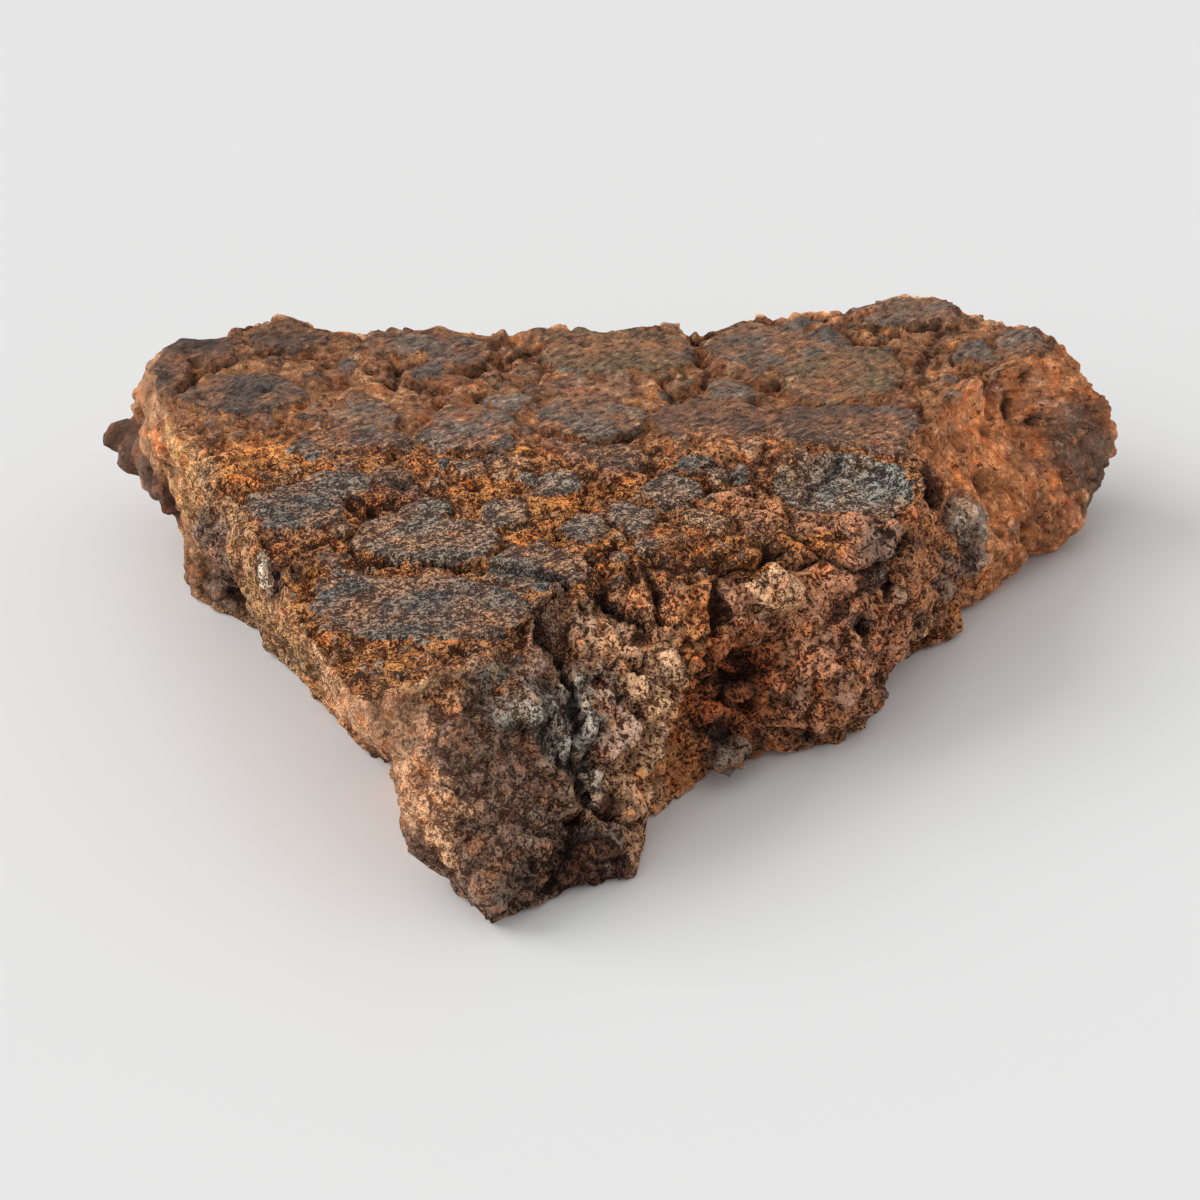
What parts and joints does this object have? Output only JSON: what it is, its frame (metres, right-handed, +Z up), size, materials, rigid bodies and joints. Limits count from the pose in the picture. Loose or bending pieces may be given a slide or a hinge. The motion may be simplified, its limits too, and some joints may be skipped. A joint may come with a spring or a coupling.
{
  "type": "meteorite slice",
  "caption": "Broken triangular slice of a rusty metal-rich stony meteorite, sawn flat above and below, with grey chondrules in an orange matrix and a rough knobbly edge.",
  "frame": {"origin": "on the plane of the flat sawn underside, below the middle of the stone's box", "axes": "+X along the longest extent, to the right as the picture shows it; +Y to the back; +Z up, square to the two saw cuts"},
  "size_m": [0.0366, 0.0308, 0.0068],
  "materials": {
    "meteorite_slice": "weathered, rusty and matte, with a faint gleam on the sawn grey grains"
  },
  "bodies": {
    "root": {"meteorite_slice": "meteorite_slice"}
  },
  "joints": []
}
